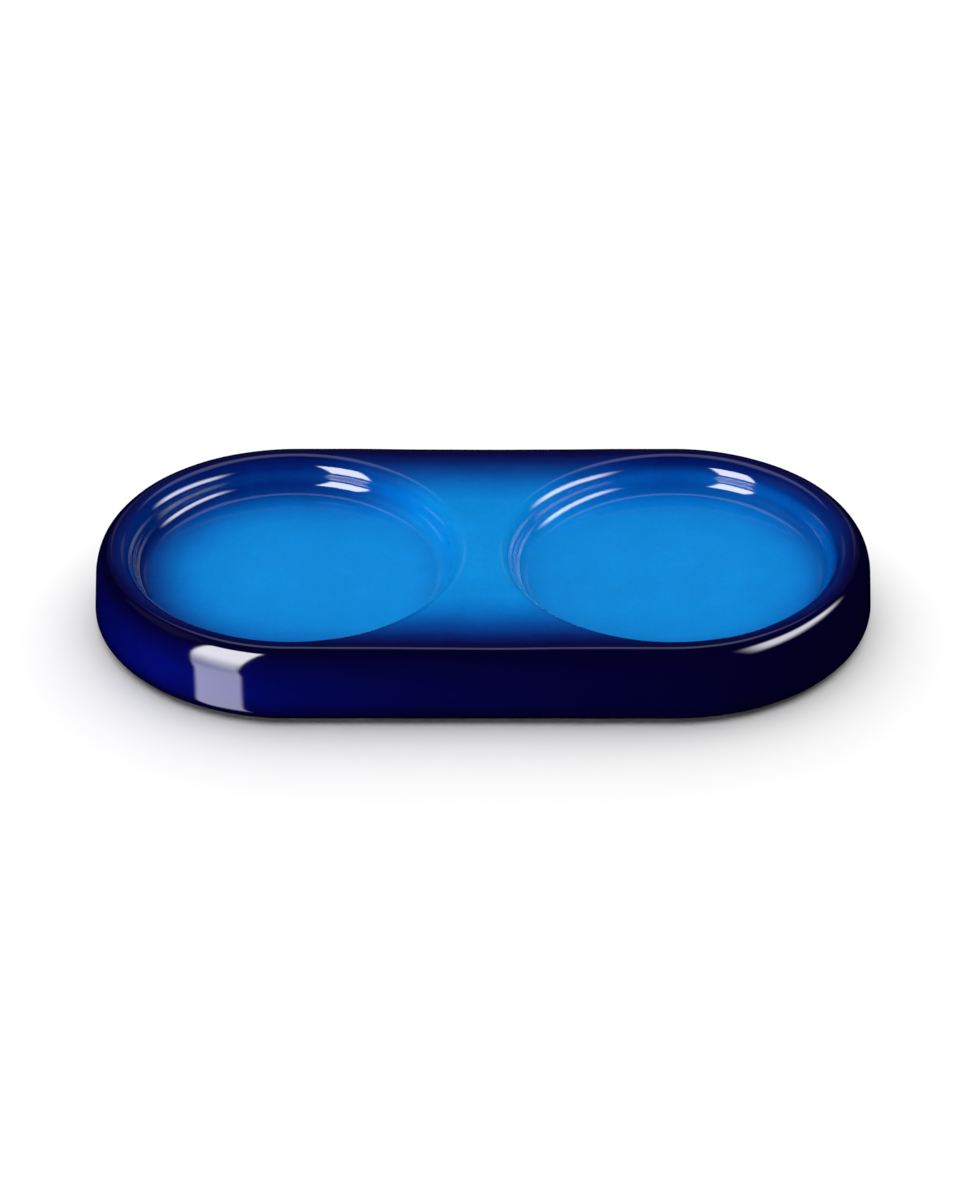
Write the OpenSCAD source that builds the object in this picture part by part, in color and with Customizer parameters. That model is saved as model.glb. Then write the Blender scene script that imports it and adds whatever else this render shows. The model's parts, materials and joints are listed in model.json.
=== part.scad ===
// Glazed stoneware tray with two round wells for a pair of mills.
// Millimetres. The origin is on the table under the middle of the tray, +X runs along the tray, +Z is up.

/* [Tray] */
// Length over both rounded ends
tray_length = 180; // [180:1:240]
// Width over the heel, which is also the diameter of the rounded ends
tray_width = 92; // [92:0.5:96]
// Height of the rim above the table
tray_height = 19.2; // [18:0.2:20.4]
// Radius of the rim's outer edge
rim_round = 3; // [2.5:0.1:3.4]
// Radius of the heel, where the side turns under to the foot
heel_round = 2.5; // [1.5:0.1:4]
// Lean of the side, which is widest at the heel, in degrees
side_lean = 3.5; // [1:0.5:3.5]

/* [Wells] */
// Diameter of a well's flat floor, where the foot of a mill stands
floor_d = 66.8; // [60:0.2:67]
// Depth of the floor below the rim
well_depth = 7.4; // [6.5:0.1:7.4]
// Radius of the cove between a well's floor and its wall
cove_round = 3.5; // [3.5:0.1:3.7]
// Radius of the lip between a well's wall and the rim
lip_round = 4; // [4:0.1:4.3]

/* [Underside] */
// Thickness of the side wall round the hollow under the tray
side_wall = 8; // [6:0.25:10]
// Height of the hollow's ceiling above the table
hollow_height = 5; // [4.5:0.5:7]
// Radius of the corner between the hollow's wall and its ceiling
hollow_round = 2.5; // [1:0.5:3]

/* [Glaze] */
// Thickness of the coloured glaze
glaze = 0.5; // [0.3:0.1:0.8]
// Thickness of the glaze in the hollow
base_glaze_t = 0.3; // [0.2:0.1:0.5]
// Height above the table at which the coloured glaze stops
glaze_line = 0.8; // [0.5:0.1:1.5]
// Height above the table at which the glaze in the hollow stops
base_glaze_line = 1.2; // [1:0.1:2]

/* [Hidden] */
$fn = 96;

// Radius of the rounded ends, and distance of each well's axis from the middle
end_r = tray_width / 2;
well_x = tray_length / 2 - end_r;

// Middle of the heel's rounding, whose radius is also the outside of the bare foot
heel_r = end_r - heel_round;
heel_z = glaze_line + heel_round;

// Middle of the rim's rounding, set by the leaning side that touches both roundings
rim_z = tray_height - rim_round;
rim_r = trim(heel_r + ((heel_z - rim_z) * sin(side_lean) + heel_round - rim_round) / cos(side_lean));

// Depth by which roundings that meet in a smooth line run into each other
bite = 0.01;

// Slope of a well's wall, in degrees from the level, at the line where its cove runs into its lip
bend = cove_round + lip_round;
wall_slope = acos(1 - well_depth / bend);

// Height of a well's floor, and radii of the floor and the mouth of a well
floor_z = tray_height - well_depth;
floor_r = floor_d / 2;
mouth_r = trim(floor_r + bend * sin(wall_slope) - bite);

// Radius of the hollow's wall, and of the line on the crown where the dark glaze meets the light one
hollow_r = end_r - side_wall;
split_r = (mouth_r + rim_r) / 2;

// Level inside the clay at which each well's dish joins the block, and half the tray's height
dish_z = (hollow_height + floor_z) / 2;
half_z = tray_height / 2;

// Overshoot of the cutting shapes
over = 1;

// Length rounded down to a hundredth
function trim(x) = floor(100 * x) / 100;

// Point at distance r from the origin in direction a
function polar(r, a) = [r * cos(a), r * sin(a)];

// Slice of a disc between two directions less than half a turn apart
module sector(r, from, to) {
    intersection() {
        circle(r);
        polygon([[0, 0], polar(2 * r, from), polar(3 * r, (from + to) / 2), polar(2 * r, to)]);
    }
}

// Solid of the tray's long outline: the half section is turned at both ends and drawn out between them
module long_round() {
    for (side = [0, 1])
        mirror([side, 0, 0])
            translate([well_x, 0, 0])
                rotate(-90)
                    rotate_extrude(angle = 180)
                        children();
    rotate([90, 0, 90])
        linear_extrude(height = 2 * well_x, center = true)
            for (side = [0, 1])
                mirror([side, 0])
                    children();
}

// Places its children on the axis of each well
module at_wells() {
    for (side = [-1, 1])
        translate([side * well_x, 0, 0])
            children();
}

// Half section of the tray without its wells, shrunk by skin all round
module block_section(skin) {
    heel = [heel_r, heel_z];
    rim = [rim_r, rim_z];
    polygon([
        [0, glaze_line + skin],
        [heel_r, glaze_line + skin],
        heel,
        heel + [(heel_round - skin) / cos(side_lean) - bite, 0],
        rim + [(rim_round - skin) / cos(side_lean) - bite, 0],
        rim,
        [rim_r, tray_height - skin],
        [0, tray_height - skin]
    ]);
    translate(heel)
        sector(heel_round - skin, -90, 45);
    translate(rim)
        sector(rim_round - skin, -45, 90);
}

// Half section of one well's dish, from its axis to its mouth, with its upper face lowered by skin
module dish_section(skin) {
    cove = [floor_r, floor_z + cove_round];
    lip = [mouth_r, tray_height - lip_round];
    wall_z = cove.y - (cove_round + skin) * cos(wall_slope);
    difference() {
        union() {
            translate([0, dish_z])
                square([mouth_r, floor_z - skin - dish_z]);
            translate([floor_r, dish_z])
                square([mouth_r - floor_r, wall_z - dish_z]);
            translate(lip)
                sector(lip_round - skin, 90, 180);
        }
        translate(cove)
            sector(cove_round + skin, -90, 45);
    }
}

// Half section of the hollow under the tray, shrunk by skin at its wall and ceiling
module hollow_section(skin) {
    corner = [hollow_r - hollow_round, hollow_height - hollow_round];
    translate([0, -over])
        square([corner.x, hollow_height - skin + over]);
    translate([corner.x, -over])
        square([hollow_round - skin, corner.y + over]);
    translate(corner)
        sector(hollow_round - skin, 0, 90);
}

// Half section of the clay with its foot and its hollow
module clay_section() {
    difference() {
        union() {
            block_section(glaze);
            square([heel_r, half_z]);
        }
        hollow_section(0);
    }
}

// Half section of the coloured glaze over the rim, down the side and round the heel
module coat_section() {
    difference() {
        block_section(0);
        block_section(glaze);
        square([heel_r, half_z]);
    }
}

// Cylinder through which each well's dish is let into a block
module well_hole() {
    translate([0, 0, dish_z])
        cylinder(r = mouth_r, h = tray_height - dish_z + over);
}

// The whole coat of coloured glaze, lining of the wells included
module coat() {
    difference() {
        long_round() coat_section();
        at_wells() well_hole();
    }
    at_wells()
        rotate_extrude()
            difference() {
                dish_section(0);
                dish_section(glaze);
            }
}

// Upright solid inside the line where the dark glaze meets the light one
module inside_crown() {
    long_round() square([split_r, tray_height + over]);
}

// Fired clay: rim, wells, bridge, side wall and bare foot
module stoneware_body() {
    color("#d9c8ad") {
        difference() {
            long_round() clay_section();
            at_wells() well_hole();
        }
        at_wells()
            rotate_extrude()
                dish_section(glaze);
    }
}

// Light blue glaze in the wells and over the bridge, out to the crown of the rim
module ground_glaze() {
    color("#0b86d6")
        intersection() {
            coat();
            inside_crown();
        }
}

// Dark blue glaze from the crown of the rim down the side
module rim_glaze() {
    color("#0a0650")
        difference() {
            coat();
            inside_crown();
        }
}

// Thin glaze on the wall and ceiling of the hollow
module base_glaze() {
    color("#14308c")
        long_round()
            difference() {
                hollow_section(0);
                hollow_section(base_glaze_t);
                translate([0, -over])
                    square([hollow_r + over, base_glaze_line + over]);
            }
}

stoneware_body();
ground_glaze();
rim_glaze();
base_glaze();
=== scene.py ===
import json
import math
import bmesh
import bpy
import numpy as np
from mathutils import Matrix, Vector


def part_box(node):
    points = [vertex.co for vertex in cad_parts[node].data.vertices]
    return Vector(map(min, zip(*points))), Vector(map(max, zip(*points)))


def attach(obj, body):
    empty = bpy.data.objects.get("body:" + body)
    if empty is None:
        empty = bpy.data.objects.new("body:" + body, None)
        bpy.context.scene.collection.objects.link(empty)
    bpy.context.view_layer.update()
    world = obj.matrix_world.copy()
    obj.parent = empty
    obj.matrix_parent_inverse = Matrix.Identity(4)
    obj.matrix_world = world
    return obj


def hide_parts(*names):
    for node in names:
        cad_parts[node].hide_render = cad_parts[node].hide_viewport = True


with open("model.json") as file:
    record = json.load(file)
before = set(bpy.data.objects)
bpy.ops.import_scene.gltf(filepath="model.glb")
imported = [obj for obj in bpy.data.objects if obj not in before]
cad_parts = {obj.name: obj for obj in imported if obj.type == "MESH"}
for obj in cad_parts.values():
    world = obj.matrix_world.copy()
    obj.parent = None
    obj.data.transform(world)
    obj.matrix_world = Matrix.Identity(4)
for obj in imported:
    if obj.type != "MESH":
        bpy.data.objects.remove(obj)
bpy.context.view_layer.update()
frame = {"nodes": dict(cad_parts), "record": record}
print("frame loaded:", sorted(frame["nodes"]))

mm = 0.001
tiny = 1e-9
wellFloor = [m["pos_m"] for m in frame["record"]["mounts"] if m["name"] == "right_well_floor"][0]
sideSpare = 0.03        # how far the visible tray stays inside the solids, in millimetres
topSpare = 0.005

# the tray's main sizes in millimetres, taken from the frame where it gives them
tray = {
    "endR": (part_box("rim_glaze")[1].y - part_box("rim_glaze")[0].y) / 2 / mm - sideSpare,
    "wellX": wellFloor[0] / mm,
    "top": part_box("ground_glaze")[1].z / mm - topSpare,
    "floorZ": wellFloor[2] / mm,
    "splitR": 41.55,    # line on the crown where the two glazes meet
    "arcSteps": 96,     # columns in a quarter turn
    "lineSteps": 48,    # columns along half a straight side
    "midSteps": 32,     # columns along half the middle line
}
cornerTurn = math.atan2(tray["wellX"], tray["splitR"])


# outline columns: a point on the middle line or a well's axis, and the way out from there
def outlineColumns():
    quarter = []
    for k in range(tray["arcSteps"] + 1):
        a = math.pi / 2 * k / tray["arcSteps"]
        quarter.append((tray["wellX"], math.cos(a), math.sin(a)))
    for k in range(1, tray["lineSteps"] + 1):
        x = tray["wellX"] - tray["splitR"] * math.tan(cornerTurn * k / tray["lineSteps"])
        quarter.append((x, 0.0, 1.0))
    half = quarter + [(-x, -nx, ny) for x, nx, ny in quarter[-2::-1]]
    return half + [(x, nx, -ny) for x, nx, ny in half[-2:0:-1]]


# how far a ray from a well's axis runs over the top before it meets the split line or the middle line
def rayReach(a):
    a = abs(a)
    if a <= math.pi / 2:
        return tray["splitR"]
    if a <= math.pi / 2 + cornerTurn + tiny:
        return tray["splitR"] / math.sin(a)
    return -tray["wellX"] / math.cos(a)


# the rays' directions: round the end, along half the straight side, along half the middle line, and back
def wellTurns():
    turns = [0.0]
    rest = math.pi / 2 - cornerTurn
    for angle, key in [(math.pi / 2, "arcSteps"), (cornerTurn, "lineSteps"), (rest, "midSteps")]:
        start = turns[-1]
        turns += [start + angle * k / tray[key] for k in range(1, tray[key] + 1)]
    return turns + [-a for a in turns[-2:0:-1]]


# slow unevenness of a cast and fired piece, in millimetres: the bridge sinks and nothing is dead true
unevenness = {
    "bridgeSag": 0.24,
    "bridgeWide": 21.0,
    "wellSlump": 0.10,
    "wellSpread": 420.0,                # square millimetres
    "topWave": (0.025, 0.091, 0.117),   # size, and how fast it runs along and across the tray
    "topRipple": (0.012, 0.21, 0.17),
    "sideWave": (0.03, 0.16, 0.22),     # size, and how fast it runs along and up the side
    "sideRipple": (0.02, 0.33, 0.19),   # along and across
    "waveStart": (0.6, 0.4, -1.0),      # where the top's wave and the side's ripple start
    "settles": (6.0, 16.0),             # heights between which the settling sets in
    "sideBand": (38.0, 43.0),           # distances out from the middle line between which the side begins
}


def settled(points):
    x, y, z = points.T
    startX, startY, startSide = unevenness["waveStart"]
    sag = unevenness["bridgeSag"] * np.exp(-(x / unevenness["bridgeWide"]) ** 2)
    fromAxis = (np.abs(x) - tray["wellX"]) ** 2 + y ** 2
    slump = unevenness["wellSlump"] * np.exp(-fromAxis / unevenness["wellSpread"])
    size, along, across = unevenness["topWave"]
    wave = size * (1 + np.sin(x * along + startX) * np.cos(y * across + startY))
    size, along, across = unevenness["topRipple"]
    wave += size * (1 + np.sin(x * along - y * across))
    low, high = unevenness["settles"]
    lift = np.clip((z - low) / (high - low), 0, 1)

    inX = np.maximum(np.abs(x) - tray["wellX"], 0) * np.sign(x)
    away = np.maximum(np.hypot(inX, y), tiny)
    near, far = unevenness["sideBand"]
    side = np.clip((away - near) / (far - near), 0, 1)
    size, along, up = unevenness["sideWave"]
    pull = size * (1 + np.sin(x * along + z * up))
    size, along, across = unevenness["sideRipple"]
    pull += size * (1 + np.sin(x * along + startSide + y * across))
    pull *= side

    out = points.copy()
    out[:, 0] -= pull * inX / away
    out[:, 1] -= pull * y / away
    out[:, 2] -= lift * (sag + slump + wave)
    return out


weldReach = 2e-6        # metres within which points become one
slimEdge = 1e-7
creaseAngle = 48.0      # degrees

# rows on the top, as parts of the way from a well's mouth to the split line
topRows = [0.02, 0.05, 0.1, 0.17, 0.26, 0.36, 0.47, 0.58, 0.69, 0.79, 0.87, 0.93, 0.97, 1.0]


class Shell:
    def __init__(self):
        self.points = []
        self.faces = []

    # rows of points, each closed on itself, joined by quads
    def sheet(self, rows, flip=False):
        base = len(self.points)
        count = len(rows[0])
        for row in rows:
            self.points.extend(row)
        for i in range(len(rows) - 1):
            low = base + i * count
            for j in range(count):
                k = (j + 1) % count
                quad = [low + j, low + k, low + count + k, low + count + j]
                self.faces.append(quad[::-1] if flip else quad)

    # a section of (radius, height) points carried round the tray's outline
    def outline(self, section):
        columns = outlineColumns()
        self.sheet([[(x + r * nx, r * ny, z) for x, nx, ny in columns] for r, z in section])

    # both wells and the bridge, out to the split line
    def wells(self, section, level):
        turns = wellTurns()
        mouthR = section[-1][0]
        for side in (1, -1):
            rows = []
            for r, z in section:
                rows.append([(side * (tray["wellX"] + r * math.cos(a)), r * math.sin(a), z) for a in turns])
            for part in topRows:
                row = []
                for a in turns:
                    r = mouthR + (rayReach(a) - mouthR) * part
                    row.append((side * (tray["wellX"] + r * math.cos(a)), r * math.sin(a), level))
                rows.append(row)
            self.sheet(rows, flip=side < 0)

    def build(self, name, material, node):
        mesh = bpy.data.meshes.new(name)
        points = settled(np.array(self.points, float)) * mm
        mesh.from_pydata(points.tolist(), [], self.faces)
        bm = bmesh.new()
        bm.from_mesh(mesh)
        bmesh.ops.remove_doubles(bm, verts=bm.verts, dist=weldReach)
        bmesh.ops.dissolve_degenerate(bm, edges=bm.edges, dist=slimEdge)
        bmesh.ops.recalc_face_normals(bm, faces=bm.faces)
        bm.to_mesh(mesh)
        bm.free()
        mesh.shade_smooth()
        mesh.set_sharp_from_angle(angle=math.radians(creaseAngle))
        mesh.materials.append(material)
        piece = bpy.data.objects.new(name, mesh)
        bpy.context.scene.collection.objects.link(piece)
        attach(piece, "root")
        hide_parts(node)
        print("made", name, len(mesh.vertices), "points")
        return piece


# adds a round stretch to a section of (radius, height) points, from one slope to another
def bendTo(section, radius, start, stop, rows):
    r, z = section[-1]
    a = math.radians(start)
    turn = math.copysign(radius, stop - start)
    for k in range(1, rows + 1):
        b = math.radians(start + (stop - start) * k / rows)
        section.append((r + turn * (math.sin(b) - math.sin(a)), z + turn * (math.cos(a) - math.cos(b))))


# adds a straight stretch to a section
def lineTo(section, end, rows):
    r, z = section[-1]
    for k in range(1, rows):
        section.append((r + (end[0] - r) * k / rows, z + (end[1] - z) * k / rows))
    section.append(end)


# wells and bridge, in millimetres and degrees
ground = {
    "flatR": 32.3,      # dead flat part of a well's floor
    "flatRows": (0, 0.06, 0.16, 0.3, 0.45, 0.6, 0.74, 0.86, 0.95, 1),
    "runOut": 12.0,     # slow curve that lifts the floor's edge
    "easeTilt": 5.5,    # slope at which the cove takes over
    "cove": 3.75,
    "wallTilt": 86.5,
    "lip": 4.0,
    "thick": 0.5,
    "rows": (5, 22, 26),        # rows of points on the run-out, the cove and the lip
}


def dishSection(skin):
    steep = math.radians(ground["wallTilt"])
    lip = ground["lip"] - skin
    runOutRows, coveRows, lipRows = ground["rows"]
    section = [(part * ground["flatR"], tray["floorZ"] - skin) for part in ground["flatRows"]]
    bendTo(section, ground["runOut"] + skin, 0, ground["easeTilt"], runOutRows)
    bendTo(section, ground["cove"] + skin, ground["easeTilt"], ground["wallTilt"], coveRows)
    rest = tray["top"] - skin - lip * (1 - math.cos(steep)) - section[-1][1]    # straight bit of wall
    section.append((section[-1][0] + rest / math.tan(steep), section[-1][1] + rest))
    bendTo(section, lip, ground["wallTilt"], 0, lipRows)
    return section


# rim, side and heel
rim = {
    "roundOver": [(2.9, 50.0), (7.5, 76.0), (12.0, 88.5)],      # radius, and the slope it runs to
    "heel": 3.0,
    "line": 0.8,        # height above the table at which the glaze stops
    "thick": 0.5,
    "rows": (12, 12, 20),       # rows of points on each round, the straight side and the heel
}


def sideSection(skin):
    roundRows, sideRows, heelRows = rim["rows"]
    section = [(0.0, tray["top"] - skin)]
    slope = 0.0
    reach = 0.0
    drop = tray["top"] - rim["line"]
    for radius, stop in rim["roundOver"]:
        a = math.radians(slope)
        b = math.radians(stop)
        reach += radius * (math.sin(b) - math.sin(a))
        drop -= radius * (math.cos(a) - math.cos(b))
        bendTo(section, radius - skin, -slope, -stop, roundRows)
        slope = stop
    drop -= rim["heel"] * (1 + math.cos(b))         # what is left for the straight side
    lean = drop / math.tan(b)
    reach += lean + rim["heel"] * (1 - math.sin(b))
    lineTo(section, (section[-1][0] + lean, section[-1][1] - drop), sideRows)
    bendTo(section, rim["heel"] - skin, -slope, -180.0, heelRows)
    crown = tray["endR"] - reach
    return [(tray["splitR"], tray["top"] - skin)] + [(crown + r, z) for r, z in section]


# clay under the glaze, with its foot and its hollow
clay = {
    "hollowR": 38.0,
    "hollowZ": 5.0,
    "corner": 2.5,
    "cornerRows": 12,
    "ceilingRows": (0.9, 0.75, 0.55, 0.3, 0.1, 0),
    "footOutside": [(0.4, 0.75), (1.6, 0.1), (1.9, 0)],     # in from the heel, and height
    "footInside": [(0.8, 0), (0.25, 0.1), (0, 0.5)],        # out from the hollow, and height
    "gap": 0.02,        # between the clay and a glaze, so that their faces don't coincide
}


def footSection():
    heelR = tray["endR"] - rim["heel"]
    outside = [(heelR - r, z) for r, z in clay["footOutside"]]
    return outside + [(clay["hollowR"] + r, z) for r, z in clay["footInside"]]


def hollowSection(skin):
    r = clay["hollowR"] - clay["corner"]
    z = clay["hollowZ"] - clay["corner"]
    radius = clay["corner"] - skin
    turns = [math.pi / 2 * k / clay["cornerRows"] for k in range(clay["cornerRows"] + 1)]
    corner = [(r + radius * math.cos(a), z + radius * math.sin(a)) for a in turns]
    return corner + [(r * part, clay["hollowZ"] - skin) for part in clay["ceilingRows"]]


# glaze in the hollow
baseGlaze = {
    "thick": 0.3,
    "line": 1.2,        # height above the table at which it stops
    "bevel": 0.2,
}


cloudRough = 0.55


# a material with short ways to add nodes
class Finish:
    def __init__(self, name):
        self.material = bpy.data.materials.new(name)
        self.material.use_nodes = True
        self.tree = self.material.node_tree
        self.shader = self.tree.nodes["Principled BSDF"]

    def feed(self, socket, value):
        if isinstance(value, bpy.types.NodeSocket):
            self.tree.links.new(value, socket)
        else:
            socket.default_value = value

    def add(self, kind, inputs, **settings):
        node = self.tree.nodes.new("ShaderNode" + kind)
        for key, value in settings.items():
            setattr(node, key, value)
        for key, value in inputs.items():
            self.feed(node.inputs[key], value)
        return node.outputs[0]

    # several values added up, multiplied and so on, one after another
    def calc(self, operation, first, *others):
        for other in others:
            first = self.add("Math", {0: first, 1: other}, operation=operation)
        return first

    # value carried from one span to another, with soft ends
    def span(self, value, start, stop, low=0.0, high=1.0):
        inputs = {"Value": value, "From Min": start, "From Max": stop, "To Min": low, "To Max": high}
        return self.add("MapRange", inputs, interpolation_type="SMOOTHSTEP")

    # cloudy value between plus and minus size, from grains of about the given width in millimetres
    def cloud(self, place, width, size, detail=3.0):
        inputs = {"Vector": place, "Scale": 1 / width, "Detail": detail, "Roughness": cloudRough}
        return self.calc("MULTIPLY", self.calc("SUBTRACT", self.add("TexNoise", inputs), 0.5), 2 * size)

    def ramp(self, value, stops, low, high):
        node = self.tree.nodes.new("ShaderNodeValToRGB")
        while len(node.color_ramp.elements) < len(stops):
            node.color_ramp.elements.new(1.0)
        for element, (at, colour) in zip(node.color_ramp.elements, stops):
            element.position = (at - low) / (high - low)
            element.color = (*colour, 1)
        inputs = {"Value": value, "From Min": low, "From Max": high}
        self.feed(node.inputs[0], self.add("MapRange", inputs))
        return node.outputs[0]

    def mix(self, amount, first, second):
        node = self.tree.nodes.new("ShaderNodeMix")
        node.data_type = "RGBA"
        self.feed(node.inputs["Factor"], amount)
        self.feed(node.inputs["A"], first if isinstance(first, bpy.types.NodeSocket) else (*first, 1))
        self.feed(node.inputs["B"], second if isinstance(second, bpy.types.NodeSocket) else (*second, 1))
        return node.outputs["Result"]

    def spot(self):
        return self.add("TexCoord", {}).node.outputs["Object"]

    # place on the piece in millimetres
    def place(self):
        return self.add("VectorMath", {0: self.spot(), "Scale": 1 / mm}, operation="SCALE")

    def parts(self, vector):
        return self.add("SeparateXYZ", {0: vector}).node.outputs

    def bump(self, height, depth):
        return self.add("Bump", {"Height": height, "Distance": depth * mm, "Strength": 1.0})


glazeIor = 1.5

# the two blue glazes share one fade, so that no line shows where they meet
# clouds have a width in millimetres, a size and sometimes a detail
glaze = {
    "fade": [                           # millimetres in from the outline, colour there
        (3.0, (0.001, 0.0004, 0.016)),
        (6.0, (0.0008, 0.0015, 0.052)),
        (9.0, (0.0006, 0.013, 0.13)),
        (14.0, (0.0006, 0.06, 0.295)),
        (20.0, (0.001, 0.15, 0.52)),
        (26.0, (0.002, 0.22, 0.625)),
        (36.0, (0.003, 0.243, 0.665)),
    ],
    "fadeSpan": (0.0, 40.0),
    "wellLift": 3.6,                    # how much sooner the fade sets in down in the wells
    "wellTurn": 0.045,                  # and how much more so for each millimetre to the right
    "wellBelow": (0.8, 4.0),            # how far below the crown that comes in
    "wellReach": (4.0, 7.0),            # and how far in from the outline
    "pool": 1.9,                        # how much later the fade sets in where glaze pools round a floor
    "poolFoot": (-0.05, 0.25),          # how far above the floor that comes in
    "poolHead": (3.2, 1.0),             # and goes out
    "poolReach": (7.0, 8.5),
    "ends": 1.8,                        # how much sooner the fade sets in on the crown at both ends
    "endsAlong": (50.0, 85.0),
    "endsBelow": (3.0, 0.8),
    "endsReach": (2.0, 4.5),
    "cloud": (16.0, 1.3),
    "fleck": (2.6, 0.5, 4.0),
    "mottle": [(9.0, 0.1), (1.2, 0.1)],
    "paintedLightBlue": (0.0004, 0.0025, 0.125),    # painted light: lighter blue where the front-left lamp falls on the side
    "paintedLightSpot": (-75.0, -35.0, 9.0),        # where the painted light is strongest
    "paintedLightFall": (45.0, 0.28),               # how slowly that falls off, and what is taken off all over
    "paintedLightFoot": (1.5, 7.0),                 # heights over which it comes in
    "paintedLightHead": (21.0, 10.0),               # and goes out
    "paintedLightReach": (3.0, 0.8),
    "paintedLightStretch": (0.25, 0.25, 1.6),       # streaks in the painted light are drawn out along the side
    "paintedLightCloud": (7.0, 0.4),
    "rough": 0.06,
    "roughCloud": (5.0, 0.03),
    "wear": 0.06,                       # loss of gloss where the mills stand
    "wearAbove": (0.6, 0.1),
    "wearReach": (9.0, 12.0),
    "wearCloud": (1.5, 0.5, 5.0),
    "peel": 0.004,                      # depth of the orange peel
    "peelsPerMm": 0.22,
}


# several soft spans multiplied: each is a value and the name of its limits
def glazeSpans(finish, *spans):
    return finish.calc("MULTIPLY", *[finish.span(value, *glaze[limits]) for value, limits in spans])


# distance in from the tray's outline, in millimetres
def inFromOutline(finish, along, y):
    beyond = finish.calc("MAXIMUM", finish.calc("SUBTRACT", along, tray["wellX"]), 0.0)
    flat = finish.add("CombineXYZ", {"X": beyond, "Y": y, "Z": 0.0})
    out = finish.add("VectorMath", {0: flat}, operation="LENGTH").node.outputs["Value"]
    return finish.calc("SUBTRACT", tray["endR"], out)


# painted light: how much lighter the side is painted where the front-left lamp falls, from 0 to about 1
def paintedSideLight(finish, place, z, reach):
    spread, taken = glaze["paintedLightFall"]
    inputs = {0: place, 1: glaze["paintedLightSpot"]}
    away = finish.add("VectorMath", inputs, operation="DISTANCE").node.outputs["Value"]
    near = finish.calc("DIVIDE", (1 + taken) * spread, finish.calc("ADD", away, spread))
    near = finish.calc("MAXIMUM", finish.calc("SUBTRACT", near, taken), 0.0)
    band = glazeSpans(finish, (z, "paintedLightFoot"), (z, "paintedLightHead"), (reach, "paintedLightReach"))
    stretched = finish.add("VectorMath", {0: place, 1: glaze["paintedLightStretch"]}, operation="MULTIPLY")
    streaks = finish.calc("ADD", finish.cloud(stretched, *glaze["paintedLightCloud"]), 1.0)
    return finish.calc("MULTIPLY", near, band, streaks)


def glazeMaterial(name):
    finish = Finish(name)
    place = finish.place()
    parts = finish.parts(place)
    x, y, z = parts["X"], parts["Y"], parts["Z"]
    along = finish.add("Math", {0: x}, operation="ABSOLUTE")
    below = finish.calc("SUBTRACT", tray["top"], z)         # below the crown
    above = finish.calc("SUBTRACT", z, tray["floorZ"])      # above the floors of the wells
    reach = inFromOutline(finish, along, y)

    # fade from the rim to the middle, a little uneven
    lift = finish.calc("ADD", finish.calc("MULTIPLY", x, glaze["wellTurn"]), glaze["wellLift"])
    deep = glazeSpans(finish, (below, "wellBelow"), (reach, "wellReach"))
    pool = glazeSpans(finish, (above, "poolFoot"), (above, "poolHead"), (reach, "poolReach"))
    ends = glazeSpans(finish, (along, "endsAlong"), (below, "endsBelow"), (reach, "endsReach"))
    level = finish.calc("ADD", reach, finish.calc("MULTIPLY", deep, lift))
    level = finish.calc("SUBTRACT", level, finish.calc("MULTIPLY", pool, glaze["pool"]))
    level = finish.calc("ADD", level, finish.calc("MULTIPLY", ends, glaze["ends"]))
    for key in ("cloud", "fleck"):
        level = finish.calc("ADD", level, finish.cloud(place, *glaze[key]))
    colour = finish.ramp(level, glaze["fade"], *glaze["fadeSpan"])

    # painted light on the front left of the side, and light and dark patches all over
    # painted light: the side's colour is mixed towards a lighter blue where the front-left lamp falls
    colour = finish.mix(paintedSideLight(finish, place, z, reach), colour, glaze["paintedLightBlue"])
    mottle = finish.calc("ADD", *[finish.cloud(place, *patch) for patch in glaze["mottle"]], 1.0)
    colour = finish.add("VectorMath", {0: colour, "Scale": mottle}, operation="SCALE")
    finish.feed(finish.shader.inputs["Base Color"], colour)

    # gloss with a faint orange peel, rubbed duller on the floors of the wells
    rough = finish.calc("ADD", finish.cloud(place, *glaze["roughCloud"]), glaze["rough"])
    worn = finish.calc("ADD", finish.cloud(place, *glaze["wearCloud"]), 1.0)
    worn = finish.calc("MULTIPLY", worn, glazeSpans(finish, (above, "wearAbove"), (reach, "wearReach")))
    worn = finish.calc("MULTIPLY", worn, glaze["wear"])
    finish.feed(finish.shader.inputs["Roughness"], finish.calc("ADD", rough, worn))
    finish.shader.inputs["IOR"].default_value = glazeIor
    peel = finish.add("TexNoise", {"Vector": place, "Scale": glaze["peelsPerMm"], "Detail": 2.0})
    finish.feed(finish.shader.inputs["Normal"], finish.bump(peel, glaze["peel"]))
    return finish.material


# buff fired clay, bare on the foot
bareClay = {
    "colour": (0.62, 0.51, 0.36),
    "dark": (0.44, 0.33, 0.21),
    "cloud": (9.0, 0.5),
    "grain": (0.62, 0.40, 0.0, 0.35),       # span of the grain that shows dark, and how dark from and to
    "grainsPerMm": 3.0,
    "grainDepth": 0.12,
    "iron": (0.10, 0.055, 0.03),
    "speck": (0.16, 0.08, 0.0, 0.8),        # the same for specks of iron
    "specksPerMm": 0.55,
    "scuff": (0.74, 0.66, 0.54),
    "scuffCloud": (4.0, 0.5),
    "scuffPatch": (-0.1, 0.25),
    "scuffHeight": (0.25, 0.0),
    "scuffShow": 0.7,
    "rough": 0.82,
    "roughCloud": (2.0, 0.10),
}


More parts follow.
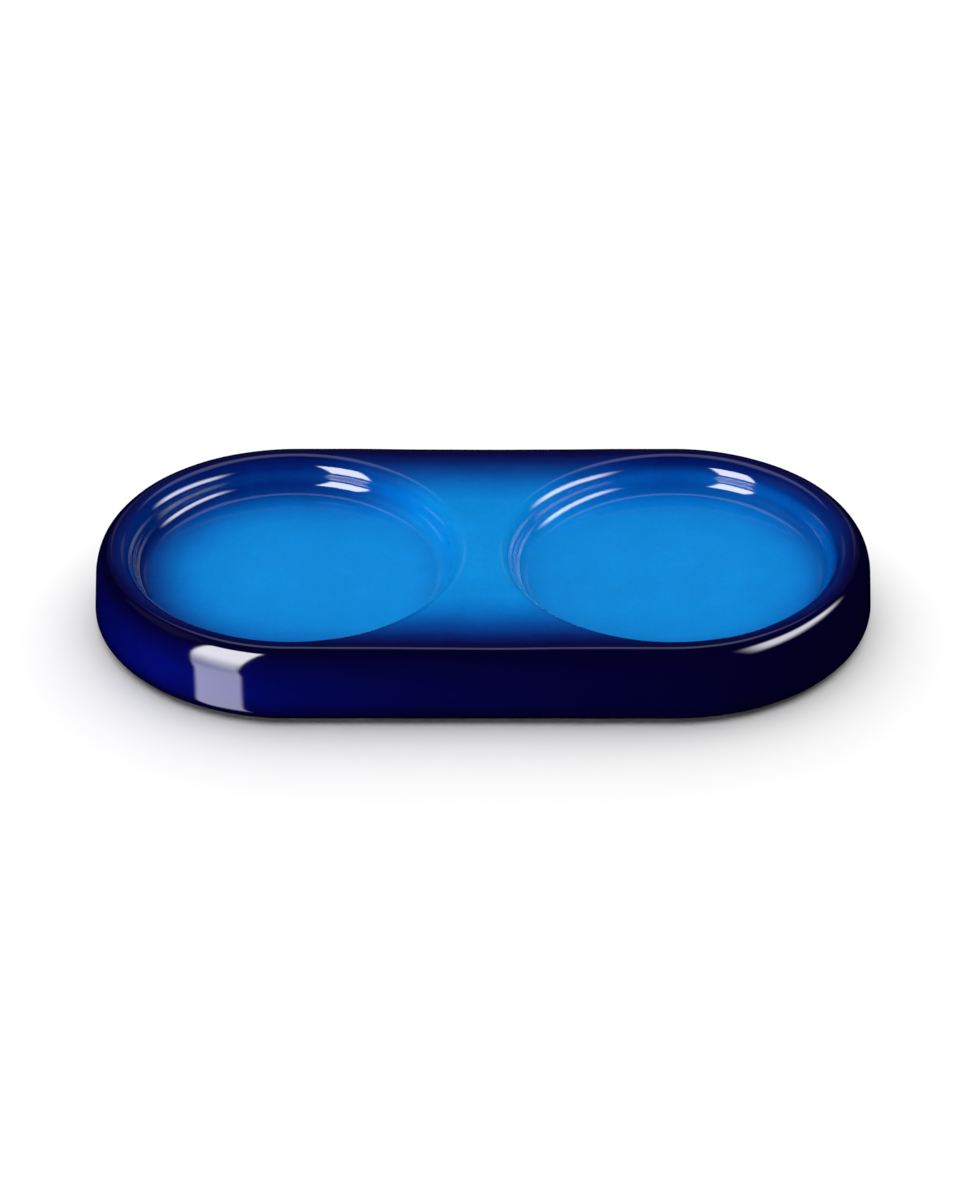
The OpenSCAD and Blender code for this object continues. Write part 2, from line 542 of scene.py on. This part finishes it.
def clayMaterial():
    finish = Finish("bareClay")
    place = finish.place()
    z = finish.parts(place)["Z"]
    cloud = finish.calc("ADD", finish.cloud(place, *bareClay["cloud"]), 0.5)
    colour = finish.mix(cloud, bareClay["dark"], bareClay["colour"])
    inputs = {"Vector": place, "Scale": bareClay["grainsPerMm"], "Detail": 5.0, "Roughness": 0.7}
    grain = finish.add("TexNoise", inputs)
    colour = finish.mix(finish.span(grain, *bareClay["grain"]), colour, bareClay["dark"])
    inputs = {"Vector": place, "Scale": bareClay["specksPerMm"], "Randomness": 1.0}
    speck = finish.add("TexVoronoi", inputs)
    colour = finish.mix(finish.span(speck, *bareClay["speck"]), colour, bareClay["iron"])
    patches = finish.span(finish.cloud(place, *bareClay["scuffCloud"]), *bareClay["scuffPatch"])
    rubbed = finish.calc("MULTIPLY", finish.span(z, *bareClay["scuffHeight"]), patches)
    colour = finish.mix(finish.calc("MULTIPLY", rubbed, bareClay["scuffShow"]), colour, bareClay["scuff"])
    finish.feed(finish.shader.inputs["Base Color"], colour)
    rough = finish.calc("ADD", finish.cloud(place, *bareClay["roughCloud"]), bareClay["rough"])
    finish.feed(finish.shader.inputs["Roughness"], rough)
    finish.feed(finish.shader.inputs["Normal"], finish.bump(grain, bareClay["grainDepth"]))
    return finish.material


# thin blue glaze in the hollow, brushed on and mottled
hollowGlaze = {
    "dark": (0.003, 0.012, 0.14),
    "light": (0.012, 0.075, 0.38),
    "brushStretch": (0.35, 1.0, 1.0),
    "brushCloud": (6.0, 0.5),
    "fineCloud": (1.2, 0.18),
    "fade": (-0.3, 0.35),
    "depth": 0.03,
    "rough": 0.16,
    "roughCloud": (3.0, 0.06),
}


def hollowMaterial():
    finish = Finish("hollowGlaze")
    place = finish.place()
    brushed = finish.add("VectorMath", {0: place, 1: hollowGlaze["brushStretch"]}, operation="MULTIPLY")
    level = finish.cloud(brushed, *hollowGlaze["brushCloud"])
    level = finish.calc("ADD", level, finish.cloud(place, *hollowGlaze["fineCloud"]))
    colour = finish.mix(finish.span(level, *hollowGlaze["fade"]), hollowGlaze["dark"], hollowGlaze["light"])
    finish.feed(finish.shader.inputs["Base Color"], colour)
    rough = finish.calc("ADD", finish.cloud(place, *hollowGlaze["roughCloud"]), hollowGlaze["rough"])
    finish.feed(finish.shader.inputs["Roughness"], rough)
    finish.shader.inputs["IOR"].default_value = glazeIor
    finish.feed(finish.shader.inputs["Normal"], finish.bump(level, hollowGlaze["depth"]))
    return finish.material


# pieces
skin = ground["thick"]
shell = Shell()
shell.wells(dishSection(0), tray["top"])
shell.wells(dishSection(skin), tray["top"] - skin)
shell.outline([(tray["splitR"], tray["top"]), (tray["splitR"], tray["top"] - skin)])
lightBlue = glazeMaterial("lightBlueGlaze")
groundPiece = shell.build("ground_glaze_coat", lightBlue, "ground_glaze")

skin = rim["thick"]
shell = Shell()
ring = sideSection(0) + sideSection(skin)[::-1]
shell.outline(ring + ring[:1])
darkBlue = glazeMaterial("darkBlueGlaze")
rimPiece = shell.build("rim_glaze_coat", darkBlue, "rim_glaze")

skin = rim["thick"] + clay["gap"]
shell = Shell()
shell.wells(dishSection(skin), tray["top"] - skin)
shell.outline(sideSection(skin) + footSection() + hollowSection(0))
clayPiece = shell.build("clay_body", clayMaterial(), "stoneware_body")

skin = baseGlaze["thick"]
shell = Shell()
inside = [(clay["hollowR"] - clay["gap"], baseGlaze["line"])] + hollowSection(clay["gap"])
outside = [(clay["hollowR"] - skin, baseGlaze["line"] + baseGlaze["bevel"])] + hollowSection(skin)
shell.outline(outside[::-1] + inside)
basePiece = shell.build("hollow_glaze_coat", hollowMaterial(), "base_glaze")

# floor and light
stage = {
    "floorHalf": 4.0,
    "floorColour": (0.95, 0.95, 0.95),
    "floorRough": 0.9,
    "dome": 0.15,                       # soft white light from all round
    "traySky": (0.32, 179.0, 0.0),      # light from above for the tray: level, spread, tilt to the back
    "floorSky": (1.0, 110.0, 20.0),     # and for the floor, so that it stays white
}

cardMargin = 0.15       # what a card's mesh has to spare outside its edges, so that they can slant

# glowing cards that only the gloss sees: turn is to the left of the front, sizes in metres
# soft gives the width of the fade at the sides, at the bottom and at the top
# drift is how far the left and the right edge move sideways with height, and the top edge up with width
cards = {
    "frontSoftbox": {
        "turn": 42.5, "rise": 25.5, "away": 0.597, "roll": -9.0, "glow": 18.5, "tint": (1, 1, 1.05),
        "wide": (-0.135, 0.17), "tall": (-0.58, 0.225), "soft": (0.03, 0.5, 0.05),
        "drift": (-0.02, -0.15, 0.35),
    },
    "frontSoftboxImage": {
        "turn": 42.5, "rise": -25.5, "away": 0.597, "roll": 4.0, "glow": 6.2, "tint": (1, 1, 1.35),
        "wide": (-0.16, 0.115), "tall": (-0.3, 0.33), "soft": (0.03, 0.25, 0.33),
        "drift": (0.0, 0.1, 0.0),
    },
    "rightPanel": {
        "turn": -79.0, "rise": 31.0, "away": 0.6, "glow": 14.5, "tint": (1, 1, 1.08),
        "wide": (-0.4, 0.4), "tall": (-0.16, 0.17), "soft": (0.25, 0.13, 0.14),
    },
    "leftGlow": {
        "turn": 95.0, "rise": 45.0, "away": 0.8, "glow": 0.12, "tint": (0.8, 0.9, 1.4),
        "wide": (-0.4, 0.4), "tall": (-0.3, 0.3), "soft": (0.2, 0.2, 0.2),
    },
    "backPanel": {
        "turn": 180.0, "rise": 54.0, "away": 1.0, "glow": 1.2, "tint": (0.85, 0.9, 1.4),
        "wide": (-0.35, 0.35), "tall": (-0.2, 0.33), "soft": (0.2, 0.1, 0.15),
    },
    "backGlow": {
        "turn": 180.0, "rise": 33.0, "away": 1.0, "glow": 0.035, "tint": (0.9, 0.95, 1.2),
        "wide": (-0.9, 0.9), "tall": (-0.4, 0.4), "soft": (0.3, 0.2, 0.2),
    },
    "backLeft": {
        "turn": 164.0, "rise": 29.0, "away": 1.0, "glow": 0.18, "tint": (1, 1, 1.2),
        "wide": (-0.14, 0.14), "tall": (-0.16, 0.1), "soft": (0.12, 0.12, 0.08),
    },
    "backRight": {
        "turn": -164.0, "rise": 29.0, "away": 1.0, "glow": 0.22, "tint": (1, 1, 1.2),
        "wide": (-0.14, 0.14), "tall": (-0.16, 0.1), "soft": (0.12, 0.12, 0.08),
    },
}


def outward(turn, rise):
    a = math.radians(turn)
    e = math.radians(rise)
    return Vector((-math.sin(a) * math.cos(e), -math.cos(a) * math.cos(e), math.sin(e)))


# matrix of something that stands off in a direction and faces the tray
def facing(turn, rise, away, roll=0.0):
    out = outward(turn, rise)
    level = Vector((0, 0, 1)).cross(out).normalized()
    up = out.cross(level)
    axes = Matrix((level, up, out)).transposed() @ Matrix.Rotation(math.radians(roll), 3, "Z")
    return Matrix.Translation(out * away) @ axes.to_4x4()


def flatMesh(name, wide, tall, material):
    mesh = bpy.data.meshes.new(name)
    corners = [(wide[0], tall[0], 0), (wide[1], tall[0], 0), (wide[1], tall[1], 0), (wide[0], tall[1], 0)]
    mesh.from_pydata(corners, [], [(0, 1, 2, 3)])
    mesh.materials.append(material)
    thing = bpy.data.objects.new(name, mesh)
    bpy.context.scene.collection.objects.link(thing)
    return thing


# glow that fades towards the card's edges and hides nothing behind it
def cardMaterial(name, card):
    finish = Finish(name)
    parts = finish.parts(finish.spot())
    side, bottom, top = card["soft"]
    left, right, upper = card.get("drift", (0.0, 0.0, 0.0))
    edges = [("X", "Y", left, card["wide"][0], side), ("X", "Y", right, card["wide"][1], -side)]
    edges += [("Y", "X", 0.0, card["tall"][0], bottom), ("Y", "X", upper, card["tall"][1], -top)]
    level = card["glow"]
    for axis, other, drift, edge, inward in edges:
        across = finish.calc("SUBTRACT", parts[axis], finish.calc("MULTIPLY", parts[other], drift))
        level = finish.calc("MULTIPLY", level, finish.span(across, edge, edge + inward))
    shine = finish.add("Emission", {"Color": (*card["tint"], 1), "Strength": level})
    both = finish.add("AddShader", {0: shine, 1: finish.add("BsdfTransparent", {})})
    finish.tree.nodes.remove(finish.shader)
    finish.feed(finish.tree.nodes["Material Output"].inputs["Surface"], both)
    finish.material.cycles.emission_sampling = "NONE"
    return finish.material


def placeCards():
    for name, card in cards.items():
        wide = (card["wide"][0] - cardMargin, card["wide"][1] + cardMargin)
        tall = (card["tall"][0] - cardMargin, card["tall"][1] + cardMargin)
        thing = flatMesh(name, wide, tall, cardMaterial(name, card))
        thing.matrix_world = facing(card["turn"], card["rise"], card["away"], card.get("roll", 0.0))
        thing.visible_camera = False
        thing.visible_diffuse = False
        thing.visible_shadow = False


def placeFloor():
    half = stage["floorHalf"]
    paint = Finish("floorPaint")
    paint.shader.inputs["Base Color"].default_value = (*stage["floorColour"], 1)
    paint.shader.inputs["Roughness"].default_value = stage["floorRough"]
    paint.shader.inputs["Specular IOR Level"].default_value = 0.0
    thing = flatMesh("floor", (-half, half), (-half, half), paint.material)
    thing.visible_glossy = False
    return thing


# lamps that light the tray alone, at about the cards' places
lamps = {
    "frontLamp": {"turn": 42.5, "rise": 35.0, "away": 0.6, "wide": 0.22, "tall": 0.77, "watts": 3.45},
    "rightLamp": {"turn": -90.0, "rise": 42.0, "away": 0.45, "wide": 0.48, "tall": 0.12, "watts": 0.66},
    "backLamp": {"turn": 180.0, "rise": 45.0, "away": 1.0, "wide": 1.0, "tall": 0.12, "watts": 0.48},
}


def collect(name, things):
    group = bpy.data.collections.new(name)
    for thing in things:
        group.objects.link(thing)
    return group


def placeLamp(name, data, matrix, lit):
    lamp = bpy.data.objects.new(name, data)
    bpy.context.scene.collection.objects.link(lamp)
    lamp.matrix_world = matrix
    lamp.visible_glossy = False
    lamp.light_linking.receiver_collection = lit


def placeLamps(lit):
    for name, lamp in lamps.items():
        data = bpy.data.lights.new(name, "AREA")
        data.shape = "RECTANGLE"
        data.size = lamp["wide"]
        data.size_y = lamp["tall"]
        data.energy = lamp["watts"]
        placeLamp(name, data, facing(lamp["turn"], lamp["rise"], lamp["away"]), lit)


def placeSky(name, lit):
    level, spread, tilt = stage[name]
    data = bpy.data.lights.new(name, "SUN")
    data.angle = math.radians(spread)
    data.energy = level * math.pi
    placeLamp(name, data, Matrix.Translation((0, 0, 1)) @ Matrix.Rotation(math.radians(-tilt), 4, "X"), lit)


# the dome is white to the camera and to what is clear or shiny, and dim to everything else
def placeDome():
    world = bpy.data.worlds.new("dome")
    bpy.context.scene.world = world
    world.use_nodes = True
    tree = world.node_tree
    seen = tree.nodes.new("ShaderNodeLightPath")
    level = tree.nodes.new("ShaderNodeMapRange")
    level.inputs["To Min"].default_value = stage["dome"]
    level.inputs["To Max"].default_value = 1.0
    white = seen.outputs["Is Camera Ray"]
    for ray in ("Is Glossy Ray", "Is Transmission Ray"):
        both = tree.nodes.new("ShaderNodeMath")
        both.operation = "MAXIMUM"
        tree.links.new(white, both.inputs[0])
        tree.links.new(seen.outputs[ray], both.inputs[1])
        white = both.outputs[0]
    tree.links.new(white, level.inputs["Value"])
    tree.links.new(level.outputs[0], tree.nodes["Background"].inputs["Strength"])
    tree.nodes["Background"].inputs["Color"].default_value = (1, 1, 1, 1)
    world.cycles_visibility.glossy = False      # the glaze mirrors the cards alone


floorThing = placeFloor()
placeCards()
trayPieces = collect("trayPieces", [groundPiece, rimPiece, clayPiece, basePiece])
placeLamps(trayPieces)
placeSky("traySky", trayPieces)
placeSky("floorSky", collect("floorOnly", [floorThing]))
placeDome()
print("stage set:", len(cards), "cards")

# camera, in degrees and metres
camera = {
    "azimuth": 0.54,
    "elevation": 33.2,
    "roll": -0.27,
    "distance": 3.0,
    "tall": 0.27813,            # height of the picture at the tray
    "aimRight": 0.0001,
    "aimDown": 0.00417,
    "sensor": 36.0,             # millimetres
    "clipEnd": 100.0,
}


def placeCamera():
    a = math.radians(camera["azimuth"])
    e = math.radians(camera["elevation"])
    back = Vector((math.sin(a) * math.cos(e), -math.cos(a) * math.cos(e), math.sin(e)))
    right = Vector((math.cos(a), math.sin(a), 0))
    up = back.cross(right)
    aim = Vector((0, 0, tray["top"] * mm / 2)) + right * camera["aimRight"] - up * camera["aimDown"]
    data = bpy.data.cameras.new("camera")
    data.sensor_width = camera["sensor"]
    data.lens = camera["sensor"] * camera["distance"] / camera["tall"]
    data.clip_end = camera["clipEnd"]
    cam = bpy.data.objects.new("camera", data)
    bpy.context.scene.collection.objects.link(cam)
    turn = Matrix((right, up, back)).transposed() @ Matrix.Rotation(math.radians(camera["roll"]), 3, "Z")
    cam.matrix_world = Matrix.Translation(aim + back * camera["distance"]) @ turn.to_4x4()
    bpy.context.scene.camera = cam


placeCamera()
bpy.context.scene.view_settings.view_transform = "Standard"
print("camera placed")
